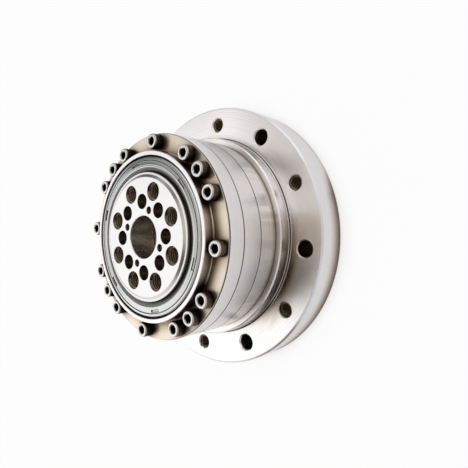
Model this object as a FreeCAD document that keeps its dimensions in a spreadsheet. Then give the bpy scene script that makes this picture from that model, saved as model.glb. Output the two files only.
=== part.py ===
import FreeCAD, Part
import math
import os
import re

import Sketcher
from FreeCAD import Matrix, Placement, Rotation, Vector

# Strain wave gear unit with a crossed roller output bearing and a mounting flange.
# The axis is vertical. Height 0 is the rear face of the mounting flange, where the
# motor goes, and the output face looks up. Angle 0 is along +X, 90 along +Y.
# All sizes are in millimetres. Radii and heights are from the axis and the rear face.

DRIVING_SIZES = [
    # Mounting flange, with its neck and the recess that centres the motor
    ("flange_radius", 97.0), ("flange_edge", 1.2), ("rear_edge", 0.5), ("flange_top", 23.7),
    ("neck_radius", 73.0), ("neck_foot", 1.4), ("neck_edge", 0.8), ("neck_top", 34.0),
    ("pilot_radius", 55.0), ("pilot_depth", 6.0), ("chamber_radius", 45.0),
    ("spigot_radius", 48.0), ("spigot_height", 2.0), ("spigot_fit", 0.03),
    ("flange_circle", 84.2), ("clear_radius", 5.5), ("tapped_radius", 5.0),
    ("clear_edge", 0.8), ("tapped_edge", 0.7), ("flange_holes", 6),
    ("motor_circle", 72.5), ("motor_tap_radius", 4.0), ("motor_tap_depth", 16.0),
    # Stack of three rings on the flange: circular spline, case, bearing outer ring
    ("body_radius", 69.0), ("spline_top", 49.5), ("case_top", 65.5), ("seat_top", 78.4),
    ("thin_edge", 0.25), ("wide_edge", 0.5), ("seat_edge", 0.6), ("seat_bevel", 1.5),
    ("case_bore", 44.0), ("hub_radius", 56.5), ("hub_foot", 0.6), ("hub_top", 85.4),
    ("hub_edge", 0.3),
    # Sixteen socket screws that hold the stack
    ("screw_circle", 62.8), ("screw_clear", 3.3), ("screw_tap", 3.0), ("screw_shank", 2.95),
    ("screw_head", 5.0), ("screw_head_height", 6.0), ("screw_head_edge", 0.6),
    ("screw_socket", 5.0), ("screw_socket_depth", 3.5), ("screw_end", 24.0), ("tap_end", 21.0),
    # Squeezed rings of round cord between the faces of the stack
    ("cord_inner", 52.9), ("cord_outer", 55.1), ("cord_height", 1.5),
    # Crossed roller bearing
    ("roller_circle", 48.0), ("roller_centre", 71.8), ("roller_radius", 3.5),
    ("roller_half", 3.35), ("roller_edge", 0.4), ("roller_play", 0.05), ("race_gap", 0.2),
    ("roller_count", 36), ("saddle_half", 2.68), ("plug_radius", 5.0), ("plug_angle", 195.0),
    ("pin_radius", 1.5), ("pin_circle", 60.5), ("pin_top", 74.5), ("press_play", 0.02),
    # Output seal in the hub: metal case with marks and a fine groove, and its rubber lip
    ("seal_seat", 80.5), ("seal_outer", 53.75), ("seal_bore", 46.0), ("seal_top", 85.2),
    ("seal_rim", 52.0), ("seal_bevel", 1.5), ("seal_lead", 0.4), ("line_inner", 49.9),
    ("line_outer", 50.7), ("line_depth", 0.4), ("mark_count", 6), ("mark_angle", 47.0),
    ("mark_span", 9.2), ("mark_inner", 47.8), ("mark_outer", 49.6), ("mark_depth", 0.5),
    ("lip_play", 0.05), ("lip_wall", 0.9), ("lip_lift", 0.6), ("lip_drop", 0.7), ("lip_sink", 1.5),
    # Output flange, which is also the bearing inner ring
    ("output_bottom", 66.0), ("output_top", 87.0), ("boss_radius", 39.3), ("boss_step", 1.0),
    ("skirt_radius", 41.2), ("output_ring", 42.6), ("output_edge", 0.3), ("output_bore", 14.0),
    ("bore_edge", 0.4), ("spigot_bore", 12.5), ("bore_bottom", 69.0),
    ("output_turn", 7.2), ("large_circle", 31.25), ("large_radius", 6.0), ("large_depth", 17.0),
    ("large_edge", 0.15), ("small_circle", 23.45), ("small_radius", 5.0), ("small_depth", 9.5),
    ("small_edge", 0.1), ("clamp_thread", 4.0), ("dowel_circle", 18.6), ("dowel_radius", 2.5),
    ("dowel_sink", 2.0), ("output_holes", 8), ("dowel_count", 4),
    # Flexspline cup, its clamp plate and the screws that clamp it to the output flange
    ("module_size", 0.8), ("flex_teeth", 100), ("tooth_difference", 2), ("flank_angle", 30.0),
    ("flex_addendum", 0.6), ("flex_dedendum", 0.7), ("spline_addendum", 0.6),
    ("spline_dedendum", 0.8), ("tooth_backlash", 0.03), ("rim_wall", 1.1), ("cup_wall", 0.8),
    ("cup_open", 35.2), ("tooth_bottom", 36.8), ("tooth_top", 49.0), ("cup_corner", 61.0),
    ("corner_radius", 3.0), ("web_wall", 1.0), ("boss_outer", 31.0), ("boss_wall", 3.5),
    ("boss_taper", 1.0), ("plate_wall", 4.0), ("plate_radius", 30.5), ("spigot_rise", 2.5),
    ("clamp_head", 6.5), ("clamp_head_height", 8.0), ("clamp_socket", 6.0),
    ("clamp_socket_depth", 4.0), ("clamp_shank", 3.95), ("clamp_end", 77.5), ("clamp_clear", 4.3),
    # Wave generator: thin ball bearing on an oval plug, with an Oldham coupling inside
    ("bearing_centre", 43.0), ("race_half", 5.6), ("race_play", 0.05), ("ball_circle", 32.75),
    ("ball_radius", 3.75), ("ball_count", 23), ("ball_play", 0.06), ("race_outer", 35.4),
    ("race_inner", 30.1), ("plug_oval", 27.3), ("plug_half", 5.8), ("cage_inner", 31.3),
    ("cage_outer", 34.2), ("cage_low", 38.2), ("cage_high", 44.6), ("pocket_play", 0.24),
    ("recess_radius", 21.0), ("recess_top", 46.2), ("front_bore", 17.6), ("tongue_half", 4.0),
    ("tongue_reach", 23.8), ("slot_reach", 24.1), ("slide_play", 0.05), ("insert_bottom", 39.4),
    ("insert_top", 45.6), ("insert_play", 0.2), ("insert_bore", 13.4), ("insert_slot", 17.6),
    ("washer_wall", 0.6), ("washer_play", 0.1), ("hub_barrel", 13.0), ("hub_low", 28.0),
    ("hub_high", 47.4), ("hub_lug", 17.3), ("shaft_radius", 7.0), ("key_half", 2.5),
    ("key_depth", 2.3), ("hub_bevel", 1.0),
    # Spring ring that keeps the insert in the plug, open at one side between two eyes
    ("ring_wall", 1.2), ("ring_lead", 0.35), ("ring_fit", 0.05), ("ring_reach", 22.2),
    ("ring_inner", 18.6), ("ring_shift", 0.7), ("ring_gap", 3.5), ("eye_circle", 19.0),
    ("eye_angle", 15.5), ("eye_radius", 2.2), ("eye_hole", 0.9),
    # How far a cutting shape reaches past the face that it opens
    ("cut_over", 1.0),
]

doc = FreeCAD.newDocument("strain_wave_gear")
sheet = doc.addObject("Spreadsheet::Sheet", "sizes")
for row, (alias, number) in enumerate(DRIVING_SIZES, start=1):
    sheet.set("A%d" % row, alias)
    sheet.set("B%d" % row, str(number))
    sheet.setAlias("B%d" % row, alias)
doc.recompute()

# Sizes that follow from the driving ones, kept in the same sheet
FOLLOWING_SIZES = [
    ("flex_pitch", "module_size * flex_teeth / 2"),
    ("spline_pitch", "module_size * (flex_teeth + tooth_difference) / 2"),
    ("flank_slope", "tan(flank_angle * 1 deg)"),
    ("flex_half", "pi * module_size / 4 - tooth_backlash"),
    ("spline_half", "pi * module_size / 4 + tooth_backlash"),
    ("spline_tip_half", "spline_half + spline_addendum * flank_slope"),
    ("spline_root_half", "spline_half - spline_dedendum * flank_slope"),
    ("space_mouth", "spline_pitch - spline_addendum * 1.5"),
    ("space_mouth_half", "spline_tip_half + spline_addendum * flank_slope / 2"),
    ("groove_reach", "(roller_radius + roller_play) * sqrt(2)"),
    ("stroke", "module_size * tooth_difference / 2"),
    ("cup_inner", "flex_pitch - flex_dedendum - rim_wall"),
]
for row, (alias, rule) in enumerate(FOLLOWING_SIZES, start=len(DRIVING_SIZES) + 1):
    sheet.set("A%d" % row, alias)
    sheet.set("B%d" % row, "=" + rule)
    sheet.setAlias("B%d" % row, alias)
    doc.recompute()

sub_parts = []
SCREW_ANGLES = (0, 30, 45, 60)
QUARTERS = 4


# Sizes from the sheet, and places about the axis

def size(expression):
    """Number that an expression in the sheet's aliases gives."""
    return float(sheet.evalExpression(expression))


def bound(expression):
    """The same expression, as another object of the document writes it."""
    return re.sub(r"\b([a-z][a-z_]+)\b(?!\()", r"sizes.\1", expression)


def bind(feature, **expressions):
    for name, expression in expressions.items():
        feature.setExpression(name, bound(expression))


def polar(radius, degrees, height=0.0):
    angle = math.radians(degrees)
    return Vector(radius * math.cos(angle), radius * math.sin(angle), height)


def turned(degrees):
    return Placement(Vector(), Rotation(Vector(0, 0, 1), degrees))


# Turned and drilled bodies

def new_body(label):
    body = doc.addObject("PartDesign::Body", label)
    body.Label = label
    body.Placement = Placement()
    sub_parts.append(body)
    return body


def origin_feature(body, role):
    return next(item for item in body.Origin.OriginFeatures if item.Role == role)


def new_sketch(body, name, plane, height=None):
    sketch = body.newObject("Sketcher::SketchObject", name)
    sketch.AttachmentSupport = [(origin_feature(body, plane), "")]
    sketch.MapMode = "FlatFace"
    if height is not None:
        sketch.setExpression("AttachmentOffset.Base.z", bound(height))
    return sketch


def pin_point(sketch, edge, end, across, along, tag):
    """Hold one end of a sketch edge at two distances from the origin, both from the sheet."""
    for kind, expression, axis in (("DistanceX", across, -2), ("DistanceY", along, -1)):
        if expression == "0":
            sketch.addConstraint(Sketcher.Constraint("PointOnObject", edge, end, axis))
            continue
        index = sketch.addConstraint(Sketcher.Constraint(kind, -1, 1, edge, end, size(expression)))
        name = "%s_%s" % (kind[-1].lower(), tag)
        sketch.renameConstraint(index, name)
        sketch.setExpression("Constraints." + name, bound(expression))


def outline(sketch, corners):
    """Closed line through corners, each given as two expressions."""
    spots = [Vector(size(across), size(along), 0) for across, along in corners]
    first = sketch.GeometryCount
    count = len(spots)
    for index, spot in enumerate(spots):
        sketch.addGeometry(Part.LineSegment(spot, spots[(index + 1) % count]))
    for index, (across, along) in enumerate(corners):
        edge = first + index
        after = first + (index + 1) % count
        sketch.addConstraint(Sketcher.Constraint("Coincident", edge, 2, after, 1))
        pin_point(sketch, edge, 1, across, along, str(edge))


def turn_profile(body, name, corners):
    """Solid of revolution about the axis; each corner is a radius and a height."""
    sketch = new_sketch(body, name + "_profile", "XZ_Plane")
    outline(sketch, corners)
    turning = body.newObject("PartDesign::Revolution", name)
    turning.Profile = sketch
    turning.ReferenceAxis = (sketch, ["V_Axis"])
    turning.Angle = 360
    doc.recompute()
    return turning


def hole_centres(body, name, height, circle, radius, angles):
    sketch = new_sketch(body, name + "_centres", "XY_Plane", height)
    for index, degrees in enumerate(angles):
        spot = polar(size(circle), degrees)
        sketch.addGeometry(Part.Circle(spot, Vector(0, 0, 1), size(radius)))
        width = sketch.addConstraint(Sketcher.Constraint("Radius", index, size(radius)))
        sketch.renameConstraint(width, "radius_%d" % index)
        sketch.setExpression("Constraints.radius_%d" % index, bound(radius))
        for kind, turn in (("DistanceX", "cos"), ("DistanceY", "sin")):
            reach = spot.x if kind == "DistanceX" else spot.y
            if abs(reach) < 1e-9:
                axis = -2 if kind == "DistanceX" else -1
                sketch.addConstraint(Sketcher.Constraint("PointOnObject", index, 3, axis))
                continue
            held = sketch.addConstraint(Sketcher.Constraint(kind, -1, 1, index, 3, reach))
            tag = "%s_%d" % (kind[-1].lower(), index)
            sketch.renameConstraint(held, tag)
            rule = "%s * %s(%s deg)" % (bound(circle), turn, repr(float(degrees)))
            sketch.setExpression("Constraints." + tag, rule)
    return sketch


def around(body, name, feature, count):
    """Repeat a feature evenly about the axis."""
    ring = body.newObject("PartDesign::PolarPattern", name)
    ring.Originals = [feature]
    ring.Axis = (origin_feature(body, "Z_Axis"), [""])
    ring.Angle = 360
    ring.Occurrences = int(count)
    body.Tip = ring
    doc.recompute()
    return ring


def bore_through(body, name, height, circle, radius, angles, repeats, deep=None):
    """Plain round holes cut down from a height, all the way or to a depth."""
    before = body.Shape.Volume
    sketch = hole_centres(body, name, height, circle, radius, angles)
    cut = body.newObject("PartDesign::Pocket", name)
    cut.Profile = sketch
    if deep is None:
        cut.Type = "ThroughAll"
    else:
        bind(cut, Length=deep)
    doc.recompute()
    around(body, name + "_around", cut, repeats)
    if body.Shape.Volume >= before:
        raise RuntimeError(name + " removed nothing")


def edged_hole(body, name, height, circle, radius, edge, degrees, repeats, deep=None):
    """Round holes with a small bevel at the mouth."""
    before = body.Shape.Volume
    sketch = hole_centres(body, name, height, circle, radius, (degrees,))
    doc.recompute()
    hole = body.newObject("PartDesign::Hole", name)
    hole.Profile = sketch
    hole.ThreadType = "None"
    hole.DrillPoint = "Flat"
    hole.DepthType = "ThroughAll" if deep is None else "Dimension"
    hole.HoleCutType = "Countersink"
    hole.HoleCutCountersinkAngle = 90
    bind(hole, Diameter="2 * " + radius, HoleCutDiameter="2 * (%s + %s)" % (radius, edge))
    if deep is not None:
        bind(hole, Depth=deep)
    doc.recompute()
    around(body, name + "_around", hole, repeats)
    if body.Shape.Volume >= before:
        raise RuntimeError(name + " removed nothing")


# Free forms: ovals, leaning rollers, and loose sets of equal pieces

def settle(label, shape):
    piece = doc.addObject("Part::Feature", label)
    piece.Label = label
    piece.Shape = shape
    piece.Placement = Placement()
    sub_parts.append(piece)
    return piece


def ring_face(points):
    """Flat face in the plane of the axis, from radius and height pairs."""
    spots = [Vector(radius, 0, height) for radius, height in points]
    return Part.Face(Part.makePolygon(spots + [spots[0]]))


def spun(points):
    return ring_face(points).revolve(Vector(), Vector(0, 0, 1), 360)


def oval(shape, radius):
    """Press a round shape oval, so that a circle of this radius swells and sinks by the stroke."""
    stroke = size("stroke")
    press = Matrix()
    press.scale(1 + stroke / radius, 1 - stroke / radius, 1)
    return shape.transformGeometry(press)


def drum(radius, low, high):
    return Part.makeCylinder(radius, high - low, Vector(0, 0, low))


def screw_places():
    for quarter in range(QUARTERS):
        for degrees in SCREW_ANGLES:
            yield quarter * 360 / QUARTERS + degrees


def clamp_places():
    for index in range(int(size("output_holes"))):
        yield size("output_turn") + index * 360 / size("output_holes")


def dowel_places():
    for index in range(int(size("dowel_count"))):
        yield size("output_turn + 540 / output_holes") + index * 360 / size("dowel_count")


def pierced(shape, low, wall):
    """Cut the clamp screws' and the dowel pins' holes through a wall that starts at a height."""
    over = size("cut_over")
    for circle, radius, places in (("small_circle", "clamp_clear", clamp_places()),
                                   ("dowel_circle", "dowel_radius", dowel_places())):
        for degrees in places:
            start = polar(size(circle), degrees, low - over)
            shape = shape.cut(Part.makeCylinder(size(radius), wall + 2 * over, start))
    return shape


def bar_across(half, reach, low, high, degrees):
    """Bar across the axis with flat sides; its ends are rounded to a radius about the axis."""
    bar = Part.makeBox(4 * reach, 2 * half, high - low, Vector(-2 * reach, -half, low))
    return bar.common(drum(reach, low, high)).transformed(turned(degrees).toMatrix())


# Housing: the four rings of the outer stack, their screws and their seals

def add_screw_holes(body, top, radius, deep=None):
    bore_through(body, body.Label + "_screw_holes", top, "screw_circle", radius,
                 SCREW_ANGLES, QUARTERS, deep)


def make_mounting_flange():
    """Broad flange and neck turned from one blank, with the spigot that centres the spline."""
    body = new_body("mounting_flange")
    turn_profile(body, "flange_and_neck", [
        ("pilot_radius", "0"),
        ("flange_radius - rear_edge", "0"),
        ("flange_radius", "rear_edge"),
        ("flange_radius", "flange_top - flange_edge"),
        ("flange_radius - flange_edge", "flange_top"),
        ("neck_radius + neck_foot", "flange_top"),
        ("neck_radius", "flange_top + neck_foot"),
        ("neck_radius", "neck_top - neck_edge"),
        ("neck_radius - neck_edge", "neck_top"),
        ("cord_outer", "neck_top"),
        ("cord_outer", "neck_top - cord_height"),
        ("cord_inner", "neck_top - cord_height"),
        ("cord_inner", "neck_top"),
        ("spigot_radius", "neck_top"),
        ("spigot_radius", "neck_top + spigot_height"),
        ("chamber_radius", "neck_top + spigot_height"),
        ("chamber_radius", "pilot_depth"),
        ("pilot_radius", "pilot_depth"),
    ])
    add_screw_holes(body, "neck_top", "screw_tap", "neck_top - tap_end")
    edged_hole(body, "plain_holes", "flange_top", "flange_circle", "clear_radius",
               "clear_edge", 0, size("flange_holes"))
    edged_hole(body, "tapped_holes", "flange_top", "flange_circle", "tapped_radius",
               "tapped_edge", 180 / size("flange_holes"), size("flange_holes"))
    before = body.Shape.Volume
    centres = hole_centres(body, "motor_holes", "0", "motor_circle", "motor_tap_radius", (45,))
    motor_hole = body.newObject("PartDesign::Pocket", "motor_holes")
    motor_hole.Profile = centres
    motor_hole.Reversed = True
    bind(motor_hole, Length="motor_tap_depth")
    doc.recompute()
    around(body, "motor_holes_around", motor_hole, QUARTERS)
    if body.Shape.Volume >= before:
        raise RuntimeError("motor holes removed nothing")


def make_circular_spline():
    """Rigid ring with internal teeth, two more than the flexspline has."""
    body = new_body("circular_spline")
    turn_profile(body, "spline_blank", [
        ("spigot_radius + spigot_fit", "neck_top"),
        ("body_radius - thin_edge", "neck_top"),
        ("body_radius", "neck_top + thin_edge"),
        ("body_radius", "spline_top - thin_edge"),
        ("body_radius - thin_edge", "spline_top"),
        ("spline_pitch - spline_addendum", "spline_top"),
        ("spline_pitch - spline_addendum", "neck_top + spigot_height + wide_edge"),
        ("spigot_radius + spigot_fit", "neck_top + spigot_height + wide_edge"),
    ])
    add_screw_holes(body, "spline_top", "screw_clear")
    before = body.Shape.Volume
    space = new_sketch(body, "tooth_space_outline", "XY_Plane", "spline_top")
    outline(space, [
        ("space_mouth", "space_mouth_half"),
        ("space_mouth", "0 - space_mouth_half"),
        ("spline_pitch + spline_dedendum", "0 - spline_root_half"),
        ("spline_pitch + spline_dedendum", "spline_root_half"),
    ])
    cut = body.newObject("PartDesign::Pocket", "tooth_space")
    cut.Profile = space
    cut.Type = "ThroughAll"
    doc.recompute()
    around(body, "tooth_spaces", cut, size("flex_teeth + tooth_difference"))
    if body.Shape.Volume >= before:
        raise RuntimeError("tooth spaces removed nothing")


def make_spacer_case():
    """Plain ring around the cup, between the spline and the bearing."""
    body = new_body("spacer_case")
    turn_profile(body, "case_ring", [
        ("case_bore", "spline_top"),
        ("cord_inner", "spline_top"),
        ("cord_inner", "spline_top + cord_height"),
        ("cord_outer", "spline_top + cord_height"),
        ("cord_outer", "spline_top"),
        ("body_radius - thin_edge", "spline_top"),
        ("body_radius", "spline_top + thin_edge"),
        ("body_radius", "case_top - wide_edge"),
        ("body_radius - wide_edge", "case_top"),
        ("cord_outer", "case_top"),
        ("cord_outer", "case_top - cord_height"),
        ("cord_inner", "case_top - cord_height"),
        ("cord_inner", "case_top"),
        ("case_bore", "case_top"),
    ])
    add_screw_holes(body, "case_top", "screw_clear")


def bearing_ring_corners():
    """Section of the bearing outer ring, with the V groove that the rollers run in."""
    land = "roller_circle + race_gap"
    return [
        (land, "case_top"),
        ("body_radius - wide_edge", "case_top"),
        ("body_radius", "case_top + wide_edge"),
        ("body_radius", "seat_top - seat_bevel"),
        ("body_radius - seat_edge", "seat_top"),
        ("hub_radius + hub_foot", "seat_top"),
        ("hub_radius", "seat_top + hub_foot"),
        ("hub_radius", "hub_top - hub_edge"),
        ("hub_radius - hub_edge", "hub_top"),
        ("seal_outer + hub_edge", "hub_top"),
        ("seal_outer", "hub_top - hub_edge"),
        ("seal_outer", "seal_seat"),
        (land, "seal_seat"),
        (land, "roller_centre + groove_reach - race_gap"),
        ("roller_circle + groove_reach", "roller_centre"),
        (land, "roller_centre - groove_reach + race_gap"),
    ]


def make_bearing_outer_ring():
    """Outer race of the crossed roller bearing, with the screw seat and the hub for the seal."""
    body = new_body("bearing_outer_ring")
    turn_profile(body, "race_and_hub", bearing_ring_corners())
    add_screw_holes(body, "seat_top", "screw_clear")
    before = body.Shape.Volume
    port = body.newObject("PartDesign::SubtractiveCylinder", "loading_port")
    port.AttachmentSupport = [(origin_feature(body, "XY_Plane"), "")]
    port.MapMode = "FlatFace"
    turn = Rotation(Vector(0, 0, 1), size("plug_angle")) * Rotation(Vector(0, 1, 0), 90)
    port.AttachmentOffset = Placement(polar(size("roller_circle"), size("plug_angle"),
                                            size("roller_centre")), turn)
    bind(port, Radius="plug_radius", Height="body_radius")
    port.Angle = 360
    body.Tip = port
    doc.recompute()
    pin_hole = body.newObject("PartDesign::SubtractiveCylinder", "pin_hole")
    pin_hole.AttachmentSupport = [(origin_feature(body, "XY_Plane"), "")]
    pin_hole.MapMode = "FlatFace"
    pin_hole.AttachmentOffset = Placement(polar(size("pin_circle"), size("plug_angle"),
                                                size("case_top")), Rotation())
    bind(pin_hole, Radius="pin_radius", Height="pin_top - case_top")
    pin_hole.Angle = 360
    body.Tip = pin_hole
    doc.recompute()
    if body.Shape.Volume >= before:
        raise RuntimeError("loading port removed nothing")


def make_loading_plug():
    """Plug that closes the port where the rollers go in; its inner end carries the groove."""
    play = size("press_play")
    section = [(size(radius), size(height)) for radius, height in bearing_ring_corners()]
    angle = size("plug_angle")
    rod = Part.makeCylinder(size("plug_radius") - play, size("body_radius"),
                            polar(size("roller_circle"), angle, size("roller_centre")),
                            polar(1, angle))
    pin_bore = Part.makeCylinder(size("pin_radius"), size("pin_top - case_top"),
                                 polar(size("pin_circle"), angle, size("case_top")))
    settle("loading_plug", spun(section).common(rod).cut(pin_bore))


def make_plug_pin():
    """Pin pressed up through the plug from the joint face, so that the plug can't turn."""
    play = size("press_play")
    pin = Part.makeCylinder(size("pin_radius") - play, size("pin_top - case_top") - 2 * play,
                            polar(size("pin_circle"), size("plug_angle"), size("case_top") + play))
    settle("plug_pin", pin)


def make_cord_ring(label, low, high):
    """Squeezed round cord: flat where the faces press it, bulged where the groove leaves room."""
    bulge = size("(cord_outer - cord_inner) / 8")
    inner = size("cord_inner")
    outer = size("cord_outer")
    middle = (low + high) / 2
    settle(label, spun([
        (inner + 2 * bulge, low), (outer - 2 * bulge, low), (outer - bulge, middle),
        (outer - 2 * bulge, high), (inner + 2 * bulge, high), (inner + bulge, middle),
    ]))


def make_cord_rings():
    deep = size("cord_height")
    neck = size("neck_top")
    joint = size("spline_top")
    top = size("case_top")
    make_cord_ring("flange_o_ring", neck - deep, neck)
    make_cord_ring("spline_o_ring", joint, joint + deep)
    make_cord_ring("bearing_o_ring", top - deep, top)


def socket_screw(head, shank, top, under, tip, flats, deep, edge):
    """Socket head cap screw standing on the axis, head up, with the hexagon in its head."""
    blank = spun([
        (0, tip), (shank - edge, tip), (shank, tip + edge), (shank, under), (head, under),
        (head, top - edge), (head - edge, top), (0, top),
    ])
    corner = flats / math.sqrt(3)
    hexagon = Part.makePolygon([polar(corner, 60 * step, top - deep) for step in range(7)])
    socket = Part.Face(hexagon).extrude(Vector(0, 0, deep))
    return blank.cut(socket)


def make_assembly_screws():
    """Sixteen screws through the bearing ring, the case and the spline into the flange."""
    seat = size("seat_top")
    screw = socket_screw(size("screw_head"), size("screw_shank"), seat + size("screw_head_height"),
                         seat, size("screw_end"), size("screw_socket"),
                         size("screw_socket_depth"), size("screw_head_edge"))
    copies = []
    for degrees in screw_places():
        place = Placement(polar(size("screw_circle"), degrees), Rotation(Vector(0, 0, 1), degrees))
        copies.append(screw.transformed(place.toMatrix()))
    settle("assembly_screws", Part.makeCompound(copies))


def make_seal_case():
    """Pressed metal ring that fills the hub, with a fine round groove and six assembly marks."""
    low = size("seal_seat")
    high = size("seal_top")
    lead = size("seal_lead")
    inner = size("seal_bore")
    outer = size("seal_outer")
    line_floor = high - size("line_depth")
    ring = spun([
        (inner, low), (outer, low), (outer, high - size("seal_bevel")), (size("seal_rim"), high),
        (size("line_outer"), high), (size("line_outer"), line_floor),
        (size("line_inner"), line_floor), (size("line_inner"), high),
        (inner + lead, high), (inner, high - lead),
    ])
    half = size("mark_span") / 2
    floor = high - size("mark_depth")
    for step in range(int(size("mark_count"))):
        middle = size("mark_angle") + step * 360 / size("mark_count")
        mark = drum(size("mark_outer"), floor, high).cut(drum(size("mark_inner"), floor, high))
        wedge = Part.makePolygon([Vector(0, 0, floor), polar(outer * 2, middle - half, floor),
                                  polar(outer * 2, middle + half, floor), Vector(0, 0, floor)])
        mark = mark.common(Part.Face(wedge).extrude(Vector(0, 0, high - floor)))
        ring = ring.cut(mark)
    settle("seal_case", ring)


def make_seal_lip():
    """Rubber lip bonded inside the seal case; its edge wipes the output ring."""
    low = size("seal_seat + lip_lift")
    high = size("seal_top - lip_drop")
    crest = size("seal_top - lip_sink")
    wall = size("lip_wall")
    wipe = size("output_ring + lip_play")
    root = size("seal_bore")
    settle("seal_lip", spun([
        (wipe + wall, low), (root, low), (root, high), (root - wall / 2, high),
        (wipe + 2 * wall, crest - wall / 2), (wipe + wall / 2, crest), (wipe, crest - wall),
    ]))


# Crossed rollers, which roll round between the two races

def make_rollers():
    """Short cylinders lying at 45 degrees, each one crossed to the next."""
    radius = size("roller_radius")
    half = size("roller_half")
    edge = size("roller_edge")
    roller = spun([
        (0, -half), (radius - edge, -half), (radius, edge - half), (radius, half - edge),
        (radius - edge, half), (0, half),
    ])
    count = int(size("roller_count"))
    rollers = []
    for index in range(count):
        degrees = index * 360 / count
        lean = 45 if index % 2 == 0 else 135
        place = Placement(polar(size("roller_circle"), degrees, size("roller_centre")),
                          Rotation(Vector(0, 0, 1), degrees) * Rotation(Vector(0, 1, 0), lean))
        rollers.append(roller.transformed(place.toMatrix()))
    settle("crossed_rollers", Part.makeCompound(rollers))


def saddle(first_lean, second_lean):
    """One spacer at angle 0: a square plate hollowed by the roller on each side of it."""
    clear = size("roller_radius + roller_play")
    side = size("saddle_half")
    half_pitch = 180 / size("roller_count")
    thick = size("roller_circle") * math.radians(half_pitch)
    centre = Vector(size("roller_circle"), 0, size("roller_centre"))
    plate = Part.makeBox(2 * side, 2 * thick, 2 * side, Vector(-side, -thick, -side))
    plate = plate.transformed(Placement(centre, Rotation(Vector(0, 1, 0), 45)).toMatrix())
    for degrees, lean in ((-half_pitch, first_lean), (half_pitch, second_lean)):
        aim = Rotation(Vector(0, 0, 1), degrees) * Rotation(Vector(0, 1, 0), lean)
        axis = aim.multVec(Vector(0, 0, 1))
        start = polar(size("roller_circle"), degrees, size("roller_centre")) - axis * clear * 2
        plate = plate.cut(Part.makeCylinder(clear, clear * 4, start, axis))
    return min(plate.Solids, key=lambda solid: abs(solid.CenterOfMass.y))


def make_spacers():
    """Plastic saddles between neighbouring rollers, hollowed on both sides to hold them."""
    count = int(size("roller_count"))
    pair = (saddle(45, 135), saddle(135, 45))
    saddles = []
    for index in range(count):
        place = turned((index + 0.5) * 360 / count)
        saddles.append(pair[index % 2].transformed(place.toMatrix()))
    settle("roller_spacers", Part.makeCompound(saddles))


# Output side: the flange that turns, and the flexspline clamped under it

def make_output_flange():
    """Inner race and output face in one piece, drilled for the load and for the cup's screws."""
    body = new_body("output_flange")
    land = "roller_circle - race_gap"
    turn_profile(body, "output_blank", [
        ("spigot_bore", "output_bottom"),
        (land, "output_bottom"),
        (land, "roller_centre - groove_reach + race_gap"),
        ("roller_circle - groove_reach", "roller_centre"),
        (land, "roller_centre + groove_reach - race_gap"),
        (land, "seal_seat - wide_edge"),
        ("output_ring", "seal_seat - wide_edge"),
        ("output_ring", "output_top - boss_step - output_edge"),
        ("output_ring - output_edge", "output_top - boss_step"),
        ("skirt_radius", "output_top - boss_step"),
        ("boss_radius", "output_top"),
        ("output_bore + bore_edge", "output_top"),
        ("output_bore", "output_top - bore_edge"),
        ("output_bore", "bore_bottom"),
        ("spigot_bore", "bore_bottom"),
    ])
    turn = size("output_turn")
    step = 360 / size("output_holes")
    edged_hole(body, "load_holes", "output_top", "large_circle", "large_radius", "large_edge",
               turn + step / 2, size("output_holes"), "large_depth")
    edged_hole(body, "relief_holes", "output_top", "small_circle", "small_radius", "small_edge",
               turn, size("output_holes"), "small_depth")
    bore_through(body, "clamp_threads", "output_top - small_depth", "small_circle",
                 "clamp_thread", (turn,), size("output_holes"))
    bore_through(body, "dowel_holes", "output_top", "dowel_circle", "dowel_radius",
                 (turn + step * 1.5,), size("dowel_count"))


def flex_tooth(index):
    """Corners of one external tooth on the oval rim, root to tip to root."""
    stroke = size("stroke")
    root = size("flex_pitch - flex_dedendum")
    middle = root - size("rim_wall") / 2
    slope = size("flank_slope")
    half = size("flex_half")
    place = 2 * math.pi * index / size("flex_teeth")
    # The rim keeps its length: each tooth shifts along it, and leans with the oval's own normal
    reach = middle + stroke * math.cos(2 * place)
    angle = place - stroke / (2 * middle) * math.sin(2 * place)
    lean = angle + 2 * stroke / middle * math.sin(2 * place)
    foot = Vector(reach * math.cos(angle), reach * math.sin(angle), 0)
    out = Vector(math.cos(lean), math.sin(lean), 0)
    side = Vector(-out.y, out.x, 0)
    low = root - middle
    high = size("flex_pitch + flex_addendum") - middle
    pitch = size("flex_pitch") - middle
    return [
        foot + out * low - side * (half + (pitch - low) * slope),
        foot + out * high - side * (half - (high - pitch) * slope),
        foot + out * high + side * (half - (high - pitch) * slope),
        foot + out * low + side * (half + (pitch - low) * slope),
    ]


def oval_wire(radius, height):
    stroke = size("stroke")
    curve = Part.Ellipse(Vector(0, 0, height), radius + stroke, radius - stroke)
    return Part.Wire(curve.toShape())


def round_wire(radius, height):
    return Part.Wire(Part.Circle(Vector(0, 0, height), Vector(0, 0, 1), radius).toShape())


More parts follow.
